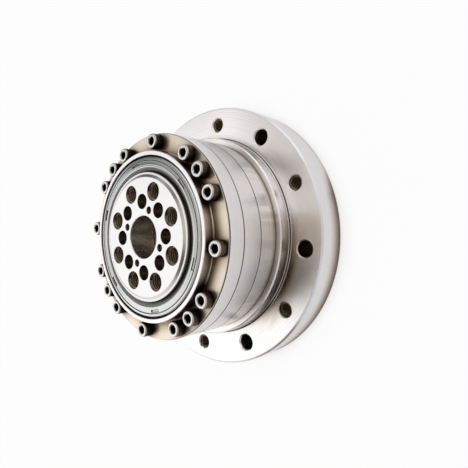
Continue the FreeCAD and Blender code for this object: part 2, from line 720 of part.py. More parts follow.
def make_flexspline():
    """Thin cup, pressed oval at its toothed mouth and round at the boss on its floor."""
    inner = size("cup_inner")
    wall = inner + size("cup_wall")
    over = size("cut_over")
    mouth = size("cup_open")
    low = size("tooth_bottom")
    high = size("tooth_top")
    corner = size("cup_corner")
    floor = size("output_bottom")
    corners = []
    for index in range(int(size("flex_teeth"))):
        corners += flex_tooth(index)
    star = Part.Face(Part.makePolygon(corners + corners[:1])).extrude(Vector(0, 0, high - low))
    star.translate(Vector(0, 0, low))
    outside = Part.makeLoft([oval_wire(wall, high), round_wire(wall, corner)], True, True)
    lip = Part.Face(oval_wire(wall, mouth)).extrude(Vector(0, 0, high - mouth))
    inside = Part.makeLoft([oval_wire(inner, high), round_wire(inner, corner)], True, True)
    core = Part.Face(oval_wire(inner, mouth - over)).extrude(Vector(0, 0, high - mouth + over))
    bend = size("corner_radius")
    web = size("web_wall")
    boss = size("boss_outer")
    foot = boss + size("boss_taper")
    bore = size("spigot_bore")
    under = floor - size("boss_wall")
    dish = spun([
        (bore, under), (boss, under), (foot, floor - 2 * web), (inner - bend, floor - 2 * web),
        (inner, corner), (wall, corner), (wall - bend / 3, corner + bend - web),
        (inner - bend, floor - web), (foot, floor - web), (boss, floor), (bore, floor),
    ])
    cup = star.fuse([lip, outside]).cut(inside.fuse(core)).fuse(dish)
    settle("flexspline", pierced(cup, under, size("boss_wall")).removeSplitter())


def make_clamp_plate():
    """Disc under the cup's boss; its spigot centres the cup and closes the output bore."""
    top = size("output_bottom - boss_wall")
    low = top - size("plate_wall")
    edge = size("wide_edge")
    radius = size("plate_radius")
    spigot = size("spigot_bore - spigot_fit")
    rise = size("output_bottom + spigot_rise")
    plate = spun([
        (0, low), (radius - edge, low), (radius, low + edge), (radius, top), (spigot, top),
        (spigot, rise - edge), (spigot - edge, rise), (0, rise),
    ])
    settle("clamp_plate", pierced(plate, low, size("plate_wall")))


def make_clamp_screws():
    """Eight screws up through the plate and the cup into the output flange, heads down."""
    seat = size("output_bottom - boss_wall - plate_wall")
    length = size("clamp_end") - seat
    screw = socket_screw(size("clamp_head"), size("clamp_shank"), size("clamp_head_height"), 0,
                         -length, size("clamp_socket"), size("clamp_socket_depth"),
                         size("screw_head_edge"))
    head_down = Rotation(Vector(1, 0, 0), 180)
    copies = []
    for degrees in clamp_places():
        place = Placement(polar(size("small_circle"), degrees, seat),
                          Rotation(Vector(0, 0, 1), degrees) * head_down)
        copies.append(screw.transformed(place.toMatrix()))
    settle("clamp_screws", Part.makeCompound(copies))


def make_dowel_pins():
    """Four pins pressed through the output flange, the cup's boss and the clamp plate."""
    low = size("output_bottom - boss_wall - plate_wall") + size("wide_edge")
    high = size("output_top - dowel_sink")
    edge = size("wide_edge")
    radius = size("dowel_radius - press_play")
    pin = spun([(0, low), (radius - edge, low), (radius, low + edge), (radius, high - edge),
                (radius - edge, high), (0, high)])
    copies = []
    for degrees in dowel_places():
        place = Placement(polar(size("dowel_circle"), degrees), Rotation())
        copies.append(pin.transformed(place.toMatrix()))
    settle("dowel_pins", Part.makeCompound(copies))


# Wave generator: oval plug, thin ball bearing and Oldham coupling, turned by the motor

def make_generator_races():
    """Thin rings pressed oval, each with a ball groove a little wider than the ball."""
    middle = size("bearing_centre")
    half = size("race_half")
    track = size("ball_circle")
    groove = Part.makeTorus(track, size("ball_radius + ball_play"), Vector(0, 0, middle))
    outside = size("cup_inner - race_play")
    outer = drum(outside, middle - half, middle + half)
    outer = outer.cut(drum(size("race_outer"), middle - half, middle + half)).cut(groove)
    settle("bearing_outer_race", oval(outer, outside))
    inner = drum(size("race_inner"), middle - half, middle + half)
    inner = inner.cut(drum(size("plug_oval"), middle - half, middle + half)).cut(groove)
    settle("bearing_inner_race", oval(inner, size("plug_oval")))


def ball_centres():
    stroke = size("stroke")
    track = size("ball_circle")
    count = int(size("ball_count"))
    for index in range(count):
        angle = 2 * math.pi * index / count
        yield Vector((track + stroke) * math.cos(angle), (track - stroke) * math.sin(angle),
                     size("bearing_centre"))


def make_balls():
    balls = [Part.makeSphere(size("ball_radius"), centre) for centre in ball_centres()]
    settle("bearing_balls", Part.makeCompound(balls))


def make_ball_separator():
    """Moulded ring with a pocket for each ball, open on the side that snaps over the balls."""
    low = size("cage_low")
    high = size("cage_high")
    ring = drum(size("cage_outer"), low, high).cut(drum(size("cage_inner"), low, high))
    ring = oval(ring, size("ball_circle"))
    pocket = size("ball_radius + pocket_play")
    for centre in ball_centres():
        ring = ring.cut(Part.makeSphere(pocket, centre))
    settle("ball_separator", max(ring.Solids, key=lambda solid: solid.Volume))


def make_generator_plug():
    """Oval steel plug, recessed for the coupling, with two slots for the insert's tongues."""
    middle = size("bearing_centre")
    half = size("plug_half")
    low = middle - half
    high = middle + half
    round_plug = drum(size("plug_oval"), low, high)
    plug = oval(round_plug, size("plug_oval"))
    wide = size("recess_radius")
    narrow = size("front_bore")
    groove = size("ring_reach + ring_fit")
    groove_low = low + size("ring_lead")
    groove_high = groove_low + size("ring_wall + ring_fit")
    top = size("recess_top")
    over = size("cut_over")
    recess = spun([
        (0, low - over), (wide, low - over), (wide, groove_low), (groove, groove_low),
        (groove, groove_high), (wide, groove_high), (wide, top), (narrow, top),
        (narrow, high + over), (0, high + over),
    ])
    slots = bar_across(size("tongue_half + slide_play"), size("slot_reach"), low - over, top, 0)
    settle("wave_generator_plug", plug.cut(recess).cut(slots))


def make_oldham_insert():
    """Floating ring: tongues outside slide in the plug, slots inside take the hub's lugs."""
    low = size("insert_bottom")
    high = size("insert_top")
    ring = drum(size("recess_radius - insert_play"), low, high)
    ring = ring.fuse(bar_across(size("tongue_half"), size("tongue_reach"), low, high, 0))
    ring = ring.cut(drum(size("insert_bore"), low, high))
    slot = bar_across(size("tongue_half + slide_play"), size("insert_slot"), low, high, 90)
    settle("oldham_insert", ring.cut(slot).removeSplitter())


def make_rub_washers():
    """Two thin plastic rings, one on each side of the insert."""
    wall = size("washer_wall")
    outer = size("recess_radius - washer_play")
    inner = size("insert_bore")
    rings = []
    for low in (size("insert_bottom") - wall, size("insert_top")):
        rings.append(drum(outer, low, low + wall).cut(drum(inner, low, low + wall)))
    settle("rub_washers", Part.makeCompound(rings))


def make_retaining_ring():
    """Spring ring in the plug's groove, with a gap and two eyes for the pliers."""
    low = size("bearing_centre - plug_half + ring_lead + ring_fit / 2")
    wall = size("ring_wall")
    half_gap = size("ring_gap")
    ring = drum(size("ring_reach"), low, low + wall)
    ring = ring.cut(Part.makeCylinder(size("ring_inner"), wall, Vector(-size("ring_shift"), 0, low)))
    ring = ring.cut(Part.makeBox(size("ring_reach + cut_over"), 2 * half_gap, wall,
                                 Vector(0, -half_gap, low)))
    for side in (-1, 1):
        eye = polar(size("eye_circle"), side * size("eye_angle"), low)
        ring = ring.fuse(Part.makeCylinder(size("eye_radius"), wall, eye))
        ring = ring.cut(Part.makeCylinder(size("eye_hole"), wall, eye))
    settle("retaining_ring", ring.removeSplitter())


def make_generator_hub():
    """Hub for the motor shaft: keyed bore, and two lugs that drive the insert."""
    low = size("hub_low")
    high = size("hub_high")
    bevel = size("hub_bevel")
    barrel = size("hub_barrel")
    bore = size("shaft_radius")
    edge = size("wide_edge")
    hub = spun([
        (bore, low + edge), (bore + edge, low), (barrel - bevel, low), (barrel, low + bevel),
        (barrel, high - bevel), (barrel - bevel, high), (bore + edge, high), (bore, high - edge),
    ])
    lug_low = size("insert_bottom")
    lug_high = size("insert_top")
    lugs = bar_across(size("tongue_half"), size("hub_lug"), lug_low, lug_high, 90)
    hub = hub.fuse(lugs.cut(drum(bore + edge, lug_low, lug_high)))
    key = Part.makeBox(bore + size("key_depth"), 2 * size("key_half"), high - low,
                       Vector(0, -size("key_half"), low))
    key = key.transformed(turned(90).toMatrix())
    settle("wave_generator_hub", hub.cut(key).removeSplitter())


def check_and_write():
    """Refuse anything that failed, then write each piece to its own file."""
    doc.recompute()
    for item in doc.Objects:
        if {"Invalid", "Error"} & set(item.State):
            raise RuntimeError(item.Label + " failed: " + ", ".join(item.State))
    os.makedirs("parts", exist_ok=True)
    for piece in sub_parts:
        shape = piece.Shape
        if shape.isNull() or not shape.isValid() or not shape.Solids:
            raise RuntimeError(piece.Label + " has no sound solid")
    for piece in sub_parts:
        piece.Shape.exportStep("parts/" + piece.Label + ".step")
        print("%-22s solids %3d  volume %10.1f" % (piece.Label, len(piece.Shape.Solids),
                                                   piece.Shape.Volume))


make_mounting_flange()
make_circular_spline()
make_spacer_case()
make_bearing_outer_ring()
make_loading_plug()
make_plug_pin()
make_cord_rings()
make_assembly_screws()
make_seal_case()
make_seal_lip()
make_rollers()
make_spacers()
make_output_flange()
make_flexspline()
make_clamp_plate()
make_clamp_screws()
make_dowel_pins()
make_generator_races()
make_balls()
make_ball_separator()
make_generator_plug()
make_oldham_insert()
make_rub_washers()
make_retaining_ring()
make_generator_hub()
check_and_write()
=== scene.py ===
import math

import bpy
from mathutils import Matrix, Vector


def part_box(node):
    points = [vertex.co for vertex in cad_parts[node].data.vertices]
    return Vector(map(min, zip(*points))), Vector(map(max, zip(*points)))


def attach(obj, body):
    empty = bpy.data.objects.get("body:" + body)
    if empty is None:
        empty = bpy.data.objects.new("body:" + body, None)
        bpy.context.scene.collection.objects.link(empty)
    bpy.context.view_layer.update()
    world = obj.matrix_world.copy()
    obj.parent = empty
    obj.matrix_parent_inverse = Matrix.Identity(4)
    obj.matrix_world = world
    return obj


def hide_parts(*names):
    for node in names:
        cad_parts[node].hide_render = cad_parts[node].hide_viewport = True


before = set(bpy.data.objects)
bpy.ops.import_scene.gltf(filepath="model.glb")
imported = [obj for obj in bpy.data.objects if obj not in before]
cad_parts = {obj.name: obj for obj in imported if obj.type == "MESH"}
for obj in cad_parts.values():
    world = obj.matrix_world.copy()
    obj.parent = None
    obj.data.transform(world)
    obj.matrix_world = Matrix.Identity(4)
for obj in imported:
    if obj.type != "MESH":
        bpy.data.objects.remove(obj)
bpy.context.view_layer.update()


# Mounting flange
# One steel blank, turned all over and drilled. It carries the whole unit: the stack of
# rings is screwed to its neck, and the motor to its rear face.

MM = 0.001


def linear(code):
    """Shader colour of an sRGB hex value."""
    shares = [int(code[place:place + 2], 16) / 255 for place in (1, 3, 5)]
    return [share / 12.92 if share <= 0.04045 else ((share + 0.055) / 1.055) ** 2.4
            for share in shares] + [1.0]


def add_node(tree, kind, settings=None, inputs=None):
    """New node: settings are its options, inputs its values or the sockets linked to it."""
    node = tree.nodes.new(kind)
    for name, choice in (settings or {}).items():
        setattr(node, name, choice)
    for name, value in (inputs or {}).items():
        if isinstance(value, bpy.types.NodeSocket):
            tree.links.new(value, node.inputs[name])
        else:
            node.inputs[name].default_value = value
    return node


def new_material(name):
    """Empty material with its shader, and the place on the piece in metres."""
    material = bpy.data.materials.new(name)
    material.use_nodes = True
    tree = material.node_tree
    shader = tree.nodes["Principled BSDF"]
    place = add_node(tree, "ShaderNodeTexCoord").outputs["Object"]
    return material, tree, shader, place


def along_the_cut(tree, place):
    """Way along a turned surface: radius plus height, so that the lines of the tool run
    round faces and sides alike."""
    parts = add_node(tree, "ShaderNodeSeparateXYZ", None, {0: place})
    across = add_node(tree, "ShaderNodeCombineXYZ", None,
                      {0: parts.outputs[0], 1: parts.outputs[1]})
    radius = add_node(tree, "ShaderNodeVectorMath", {"operation": "LENGTH"},
                      {0: across.outputs[0]})
    way = add_node(tree, "ShaderNodeMath", {"operation": "ADD"},
                   {0: radius.outputs["Value"], 1: parts.outputs[2]})
    return way.outputs[0]


# Side towards which the painted shade grows deeper and spreads further.
SHADE_SIDE = (0.96, -0.28, 0)


def with_painted_shade(tree, colour, place, reach, brown, shade_aside=False, wiped_above=None):
    """Colour darkened towards brown as painted shade where the surface is shut in: corners
    and holes within reach, and fine joints. Where ran is set, the painted shade is deeper
    and spreads further towards SHADE_SIDE, and from wiped_above up there is none. reach and
    wiped_above are in millimetres."""
    fine_reach, light_shade_to, deep_shade_from = 0.7, 59.0, 76.0
    shaded_below, unshaded_from = 0.2, 1.0
    if shade_aside:
        aside = add_node(tree, "ShaderNodeVectorMath", {"operation": "DOT_PRODUCT"},
                         {0: place, 1: SHADE_SIDE})
        deeper_aside = {"Value": aside.outputs["Value"], "From Min": light_shade_to * MM,
                   "From Max": deep_shade_from * MM}
        shaded_below = add_node(tree, "ShaderNodeMapRange", None,
                               {**deeper_aside, "To Min": 0.1, "To Max": 0.62}).outputs[0]
        unshaded_from = add_node(tree, "ShaderNodeMapRange", None,
                             {**deeper_aside, "To Min": 0.6, "To Max": 0.9}).outputs[0]
    clear_share = 1.0
    for distance, low, high in ((reach, shaded_below, unshaded_from), (fine_reach, 0.2, 0.85)):
        open_share = add_node(tree, "ShaderNodeAmbientOcclusion", {"samples": 6},
                              {"Distance": distance * MM}).outputs["AO"]
        unshaded = add_node(tree, "ShaderNodeMapRange", {"interpolation_type": "SMOOTHSTEP"},
                        {"Value": open_share, "From Min": low, "From Max": high})
        clear_share = add_node(tree, "ShaderNodeMath", {"operation": "MULTIPLY"},
                         {0: unshaded.outputs[0], 1: clear_share}).outputs[0]
    if wiped_above:
        height = add_node(tree, "ShaderNodeSeparateXYZ", None, {0: place}).outputs[2]
        wiped = add_node(tree, "ShaderNodeMath", {"operation": "GREATER_THAN"},
                         {0: height, 1: wiped_above * MM})
        clear_share = add_node(tree, "ShaderNodeMath", {"operation": "MAXIMUM"},
                         {0: wiped.outputs[0], 1: clear_share}).outputs[0]
    shade_depth = add_node(tree, "ShaderNodeMath", {"operation": "SUBTRACT"},
                         {0: 1.0, 1: clear_share}).outputs[0]
    shade_layer = add_node(tree, "ShaderNodeGamma", None,
                     {"Color": linear(brown), "Gamma": shade_depth})
    return add_node(tree, "ShaderNodeMix", {"data_type": "RGBA", "blend_type": "MULTIPLY"},
                    {"Factor": 1.0, 6: colour, 7: shade_layer.outputs[0]}).outputs[2]


def with_tinted_faces(tree, colour, place, face_tint, tint_below):
    """Colour with a warm tint on the end faces that face up and lie lower than tint_below,
    in millimetres."""
    parts = add_node(tree, "ShaderNodeSeparateXYZ", None,
                     {0: add_node(tree, "ShaderNodeNewGeometry").outputs["Normal"]})
    lying = add_node(tree, "ShaderNodeMapRange", None,
                     {"Value": parts.outputs[2], "From Min": 0.8, "From Max": 0.95})
    height = add_node(tree, "ShaderNodeSeparateXYZ", None, {0: place}).outputs[2]
    low = add_node(tree, "ShaderNodeMath", {"operation": "LESS_THAN"},
                   {0: height, 1: tint_below * MM})
    tinted = add_node(tree, "ShaderNodeMath", {"operation": "MULTIPLY"},
                       {0: lying.outputs[0], 1: low.outputs[0]})
    return add_node(tree, "ShaderNodeMix", {"data_type": "RGBA", "blend_type": "MULTIPLY"},
                    {"Factor": tinted.outputs[0], 6: colour, 7: linear(face_tint)}).outputs[2]


def with_dark_joints(tree, colour, place, joints):
    """Colour with a dark line of oil at heights, in millimetres, where two faces meet."""
    line_core, line_edge = 0.18, 0.55
    height = add_node(tree, "ShaderNodeSeparateXYZ", None, {0: place}).outputs[2]
    for joint in joints:
        away = add_node(tree, "ShaderNodeMath", {"operation": "SUBTRACT"},
                        {0: height, 1: joint * MM})
        away = add_node(tree, "ShaderNodeMath", {"operation": "ABSOLUTE"},
                        {0: away.outputs[0]})
        clear_share = add_node(tree, "ShaderNodeMapRange", None,
                         {"Value": away.outputs[0], "From Min": line_core * MM,
                          "From Max": line_edge * MM})
        colour = add_node(tree, "ShaderNodeMix", {"data_type": "RGBA"},
                          {"Factor": clear_share.outputs[0], 6: linear("#33261b"),
                           7: colour}).outputs[2]
    return colour


def turned_steel(name, pale, deep, roughness, feed, cut, grain, pits, edge=0.25, shade_reach=3.0,
                 brown="#5e5040", spread=0.5, face_tint=None, tint_below=100.0, joints=(),
                 bands=0.0, shade_aside=False, wiped_above=None):
    """Steel from the lathe. feed and cut are the tool lines' spacing and height, grain and
    pits the spacing and height of the satin on top of them, bands the height of the
    chatter along the axis, edge the broken edges' radius and oil how far the painted shade
    reaches from a corner, all in millimetres. spread is how much more the grooves scatter
    light across than along, film the warm tint of the end faces that face up and lie lower
    than tint_below, joints the heights of dark lines, and ran and wiped_above where the
    painted shade is deeper to one side and where it stops."""
    smear_size, chatter_size = 22.0, 9.0
    material, tree, shader, place = new_material(name)
    way = along_the_cut(tree, place)
    lines = add_node(tree, "ShaderNodeTexNoise", {"noise_dimensions": "1D"},
                     {"W": way, "Scale": 1 / (feed * MM), "Detail": 3.0, "Roughness": 0.6})
    satin = add_node(tree, "ShaderNodeTexNoise", None,
                     {"Vector": place, "Scale": 1 / (grain * MM), "Detail": 2.0})
    smears = add_node(tree, "ShaderNodeTexNoise", None,
                      {"Vector": place, "Scale": 1 / (smear_size * MM), "Detail": 4.0,
                       "Roughness": 0.55})
    shade = add_node(tree, "ShaderNodeMix", {"data_type": "FLOAT"},
                     {0: 0.2, 2: lines.outputs[0], 3: smears.outputs[0]})
    tone = add_node(tree, "ShaderNodeMapRange", None,
                    {"Value": shade.outputs[0], "From Min": 0.35, "From Max": 0.62})
    colour = add_node(tree, "ShaderNodeMix", {"data_type": "RGBA"},
                      {"Factor": tone.outputs[0], 6: linear(deep),
                       7: linear(pale)}).outputs[2]
    if face_tint:
        colour = with_tinted_faces(tree, colour, place, face_tint, tint_below)
    if joints:
        colour = with_dark_joints(tree, colour, place, joints)
    # Painted shade: brown in corners, holes and fine joints.
    colour = with_painted_shade(tree, colour, place, shade_reach, brown, shade_aside, wiped_above)
    gloss = add_node(tree, "ShaderNodeMapRange", None,
                     {"Value": smears.outputs[0], "From Min": 0.3, "From Max": 0.7,
                      "To Min": roughness - 0.03, "To Max": roughness + 0.04})
    reliefs = [(lines, cut), (satin, pits)]
    if bands:
        flat = add_node(tree, "ShaderNodeVectorMath", {"operation": "MULTIPLY"},
                        {0: place, 1: (1, 1, 0)})
        chatter = add_node(tree, "ShaderNodeTexNoise", None,
                           {"Vector": flat.outputs[0], "Scale": 1 / (chatter_size * MM),
                            "Detail": 2.0})
        reliefs.insert(0, (chatter, bands))
    normal = add_node(tree, "ShaderNodeBevel", {"samples": 6},
                      {"Radius": edge * MM}).outputs[0]
    for relief, depth in reliefs:
        normal = add_node(tree, "ShaderNodeBump", None,
                          {"Height": relief.outputs[0], "Distance": depth * MM,
                           "Strength": 1.0, "Normal": normal}).outputs[0]
    round_the_axis = add_node(tree, "ShaderNodeTangent",
                              {"direction_type": "RADIAL", "axis": "Z"})
    tree.links.new(colour, shader.inputs["Base Color"])
    tree.links.new(gloss.outputs[0], shader.inputs["Roughness"])
    tree.links.new(normal, shader.inputs["Normal"])
    tree.links.new(round_the_axis.outputs[0], shader.inputs["Tangent"])
    shader.inputs["Anisotropic"].default_value = spread
    shader.inputs["Anisotropic Rotation"].default_value = 0.25
    shader.inputs["Metallic"].default_value = 1.0
    return material


def dress(node, material):
    """Give a piece of the frame its finish."""
    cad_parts[node].material_slots[0].material = material


# Turned carbon steel, bright from a sharp tool: pale, with rings that catch the light.
# The feed of a real cut is about 0.2 mm, drawn here at 0.7 mm so that it shows. The fine
# grain is drawn coarser as well, and so are both in all the steels below. Painted shade
# lies brown in the fillet at the neck's foot and round it, deeper and wider on one side,
# and none is on the neck's top face.
flange_steel = turned_steel("turned_carbon_steel", "#fbf9fb", "#efebec", 0.23,
                            feed=0.7, cut=0.003, grain=0.5, pits=0.002, shade_reach=15.0,
                            brown="#6b5536", spread=0.9, face_tint="#fdfbf7",
                            joints=(24.4,), shade_aside=True, wiped_above=33.9)
dress("mounting_flange", flange_steel)


# Threads in the mounting flange
# Six M10 holes through the rim of the flange and four M8 holes for the motor, cut with a
# tap, so the ridges are the flange's own steel.

# The ridge's root is sunk into the wall of the hole. Its sizes are shares of the pitch.
RIDGE_SUNK = 0.06 * MM
RIDGE_DEPTH, RIDGE_FOOT, RIDGE_CREST = 0.55, 0.5, 0.15
POINTS_A_TURN = 40


def thread_tree():
    """Threads of a circle of holes: one helical ridge for each."""
    tree = bpy.data.node_groups.new("threads_round_a_circle", "GeometryNodeTree")
    sockets = tree.interface
    sockets.new_socket("Geometry", in_out="OUTPUT", socket_type="NodeSocketGeometry")
    for name in ("Circle", "First Angle", "Low End", "Height", "Turns", "Ridge Middle",
                 "Ridge Depth", "Ridge Foot", "Ridge Crest"):
        sockets.new_socket(name, in_out="INPUT", socket_type="NodeSocketFloat")
    sockets.new_socket("Holes", in_out="INPUT", socket_type="NodeSocketInt")
    sockets.new_socket("Steel", in_out="INPUT", socket_type="NodeSocketMaterial")
    given = tree.nodes.new("NodeGroupInput").outputs
    line = add_node(tree, "GeometryNodeCurveSpiral", None,
                    {"Resolution": POINTS_A_TURN, "Rotations": given["Turns"],
                     "Start Radius": given["Ridge Middle"],
                     "End Radius": given["Ridge Middle"], "Height": given["Height"]})
    line = add_node(tree, "GeometryNodeSetCurveNormal", {"mode": "Z_UP"},
                    {"Curve": line.outputs[0]})
    ridge = add_node(tree, "GeometryNodeCurvePrimitiveQuadrilateral", {"mode": "TRAPEZOID"},
                     {"Bottom Width": given["Ridge Foot"],
                      "Top Width": given["Ridge Crest"], "Height": given["Ridge Depth"],
                      "Offset": 0.0})
    ridge = add_node(tree, "GeometryNodeTransform", None,
                     {"Geometry": ridge.outputs[0], "Rotation": (0, 0, math.radians(90))})
    screw = add_node(tree, "GeometryNodeCurveToMesh", None,
                     {"Curve": line.outputs[0], "Profile Curve": ridge.outputs[0],
                      "Fill Caps": True})
    screw = add_node(tree, "GeometryNodeSetShadeSmooth", None,
                     {"Geometry": screw.outputs[0], "Shade Smooth": False})
    lift = add_node(tree, "ShaderNodeCombineXYZ", None, {2: given["Low End"]})
    screw = add_node(tree, "GeometryNodeTransform", None,
                     {"Geometry": screw.outputs[0], "Translation": lift.outputs[0]})
    centres = add_node(tree, "GeometryNodeMeshCircle", None,
                       {"Vertices": given["Holes"], "Radius": given["Circle"]})
    turn = add_node(tree, "ShaderNodeCombineXYZ", None, {2: given["First Angle"]})
    centres = add_node(tree, "GeometryNodeTransform", None,
                       {"Geometry": centres.outputs[0], "Rotation": turn.outputs[0]})
    holes = add_node(tree, "GeometryNodeInstanceOnPoints", None,
                     {"Points": centres.outputs[0], "Instance": screw.outputs[0]})
    whole = add_node(tree, "GeometryNodeRealizeInstances", None, {0: holes.outputs[0]})
    finish = add_node(tree, "GeometryNodeSetMaterial", None,
                      {"Geometry": whole.outputs[0], "Material": given["Steel"]})
    out = tree.nodes.new("NodeGroupOutput")
    tree.links.new(finish.outputs[0], out.inputs[0])
    return tree


def grown(name, tree, **inputs):
    """Plain mesh that a node tree makes from its named inputs."""
    seed = bpy.data.objects.new(name + "_seed", bpy.data.meshes.new(name + "_seed"))
    bpy.context.scene.collection.objects.link(seed)
    growth = seed.modifiers.new("growth", "NODES")
    growth.node_group = tree
    for socket in tree.interface.items_tree:
        key = socket.name.replace(" ", "_").lower()
        if socket.in_out == "INPUT" and key in inputs:
            growth[socket.identifier] = inputs[key]
    bpy.context.view_layer.update()
    ready = seed.evaluated_get(bpy.context.evaluated_depsgraph_get())
    mesh = bpy.data.meshes.new_from_object(ready)
    mesh.name = name
    seed.modifiers.remove(growth)
    bpy.data.objects.remove(seed)
    piece = bpy.data.objects.new(name, mesh)
    bpy.context.scene.collection.objects.link(piece)
    return piece


# Thread ridges, rubbed bright on their crests by the bolts, with painted shade brown
# between them.
tapped_steel = turned_steel("rubbed_thread_steel", "#f3ebdf", "#e2d8c9", 0.32,
                            feed=0.4, cut=0.001, grain=0.4, pits=0.002, edge=0.1, shade_reach=0.4,
                            brown="#b5a691", spread=0.0)

threads = thread_tree()


def tapped(name, circle, first_angle, mouth, major, pitch, turns, holes):
    """Threads of a circle of holes, each with its turns below the mouth."""
    depth = RIDGE_DEPTH * pitch
    return grown(name, threads, circle=circle, first_angle=math.radians(first_angle),
                 low_end=mouth - pitch * turns, height=pitch * turns, turns=turns,
                 ridge_middle=major + RIDGE_SUNK - depth / 2, ridge_depth=depth,
                 ridge_foot=RIDGE_FOOT * pitch, ridge_crest=RIDGE_CREST * pitch,
                 holes=holes, steel=tapped_steel)


flange_top = 23.7 * MM
flange_lead_in = 1.8 * MM
flange_thread = tapped("flange_threads", circle=84.2 * MM, first_angle=30,
                       mouth=flange_top - flange_lead_in, major=5.0 * MM,
                       pitch=1.5 * MM, turns=14.0, holes=6)
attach(flange_thread, "housing")

motor_holes_end = 14.8 * MM
motor_thread = tapped("motor_hole_threads", circle=72.5 * MM, first_angle=45,
                      mouth=motor_holes_end, major=4.0 * MM, pitch=1.25 * MM,
                      turns=11.4, holes=4)
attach(motor_thread, "housing")


# Round cord rings between the faces of the stack
# Nitrile rubber cord, laid in a groove in each joint and squeezed flat by the screws. The
# three rings keep the grease in.

def moulded_rubber(name, black, grey, roughness, grain):
    """Rubber from a mould: nearly black and dull, with a fine skin and some bloom."""
    bloom_size = 9.0
    material, tree, shader, place = new_material(name)
    skin = add_node(tree, "ShaderNodeTexNoise", None,
                    {"Vector": place, "Scale": 1 / (grain * MM), "Detail": 4.0})
    bloom = add_node(tree, "ShaderNodeTexNoise", None,
                     {"Vector": place, "Scale": 1 / (bloom_size * MM), "Detail": 3.0})
    colour = add_node(tree, "ShaderNodeMix", {"data_type": "RGBA"},
                      {"Factor": bloom.outputs[0], 6: linear(black), 7: linear(grey)})
    gloss = add_node(tree, "ShaderNodeMapRange", None,
                     {"Value": bloom.outputs[0], "To Min": roughness - 0.08,
                      "To Max": roughness + 0.1})
    relief = add_node(tree, "ShaderNodeBump", None,
                      {"Height": skin.outputs[0], "Distance": 0.02 * MM, "Strength": 0.6})
    tree.links.new(colour.outputs[2], shader.inputs["Base Color"])
    tree.links.new(gloss.outputs[0], shader.inputs["Roughness"])
    tree.links.new(relief.outputs[0], shader.inputs["Normal"])
    shader.inputs["IOR"].default_value = 1.52
    return material


# Nitrile rubber from a mould: nearly black and dull, with a soft sheen along its edge. Its
# skin is drawn at 0.6 mm, coarser than real, so that it shows.
nitrile = moulded_rubber("moulded_nitrile_rubber", "#141413", "#262524", 0.5, grain=0.6)
for cord in ("flange_o_ring", "spline_o_ring", "bearing_o_ring"):
    dress(cord, nitrile)


# Circular spline
# Hardened and turned steel ring, the rear ring of the stack, with 102 teeth inside. It
# sits on the flange's spigot, and its rim keeps the lines of the lathe.

# Turned alloy steel: a coarse feed, drawn at 1.1 mm, so its rim is streaked all the way
# round, and chatter of the tool, so soft bands run along the axis.
spline_steel = turned_steel("turned_alloy_steel", "#fcfaf8", "#ebe6e2", 0.30,
                            feed=1.1, cut=0.006, grain=0.6, pits=0.002, shade_reach=5.0,
                            spread=0.95, joints=(49.5,), bands=1.0)
dress("circular_spline", spline_steel)


# Spacer case
# Plain steel ring with a fine satin rim. It makes room for the cup between the spline and
# the bearing, and the screws pass through it and clamp it.

# Ring steel with a satin rim: fine grit leaves it soft and even, a little lilac. The seat
# is tinted warm, painted shade browns its corners, and the joints between the rings have
# dark lines.
satin_steel = turned_steel("satin_ground_steel", "#f8f5f5", "#ede8e8", 0.34,
                           feed=0.5, cut=0.002, grain=0.45, pits=0.005, shade_reach=9.0,
                           brown="#5c4b36", face_tint="#f0e7d5", tint_below=80.0,
                           joints=(49.5, 65.5, 77.8))
dress("spacer_case", satin_steel)


# Bearing outer ring, with the plug that closes the rollers' port
# Bearing steel, turned and ground. Its raised hub holds the seal, and the sixteen screws
# stand on the seat round it.

dress("bearing_outer_ring", satin_steel)
dress("loading_plug", satin_steel)

# Drawn pin steel: bright and a little warm.
drawn_steel = turned_steel("drawn_pin_steel", "#e2dccb", "#c8c0ab", 0.25,
                           feed=0.4, cut=0.002, grain=0.4, pits=0.002, edge=0.15)
dress("plug_pin", drawn_steel)


# Crossed rollers and the saddles between them
# Ground chrome steel rollers, each turned across the next one, held apart by saddles of
# nylon. All go in one by one through the port in the outer ring.

# Ground and polished chrome steel: nearly a mirror.
ball_steel = turned_steel("polished_chrome_steel", "#d9dadb", "#c3c4c6", 0.12,
                          feed=0.5, cut=0.0005, grain=0.5, pits=0.0005, edge=0.15)
dress("crossed_rollers", ball_steel)


def moulded_plastic(name, pale, deep, roughness, grain, depth):
    """Plastic from a mould, with slight flow marks."""
    flow_size = 7.0
    material, tree, shader, place = new_material(name)
    flow = add_node(tree, "ShaderNodeTexNoise", None,
                    {"Vector": place, "Scale": 1 / (flow_size * MM), "Detail": 3.0,
                     "Distortion": 0.8})
    skin = add_node(tree, "ShaderNodeTexNoise", None,
                    {"Vector": place, "Scale": 1 / (grain * MM), "Detail": 2.0})
    colour = add_node(tree, "ShaderNodeMix", {"data_type": "RGBA"},
                      {"Factor": flow.outputs[0], 6: linear(deep), 7: linear(pale)})
    gloss = add_node(tree, "ShaderNodeMapRange", None,
                     {"Value": flow.outputs[0], "To Min": roughness - 0.06,
                      "To Max": roughness + 0.08})
    relief = add_node(tree, "ShaderNodeBump", None,
                      {"Height": skin.outputs[0], "Distance": depth * MM, "Strength": 0.8})
    tree.links.new(colour.outputs[2], shader.inputs["Base Color"])
    tree.links.new(gloss.outputs[0], shader.inputs["Roughness"])
    tree.links.new(relief.outputs[0], shader.inputs["Normal"])
    shader.inputs["Subsurface Weight"].default_value = 0.04
    shader.inputs["Subsurface Scale"].default_value = 1.5 * MM
    shader.inputs["IOR"].default_value = 1.53
    return material


# Unfilled nylon: cream, slightly waxy, with its skin drawn coarser than real.
nylon = moulded_plastic("moulded_nylon", "#e3dac2", "#d3c8ab", 0.42, grain=0.7, depth=0.01)
dress("roller_spacers", nylon)


# Output flange
# The bearing's inner ring and the output face in one hardened piece. The face is ground
# flat, and its holes take the load's bolts and the cup's screws.

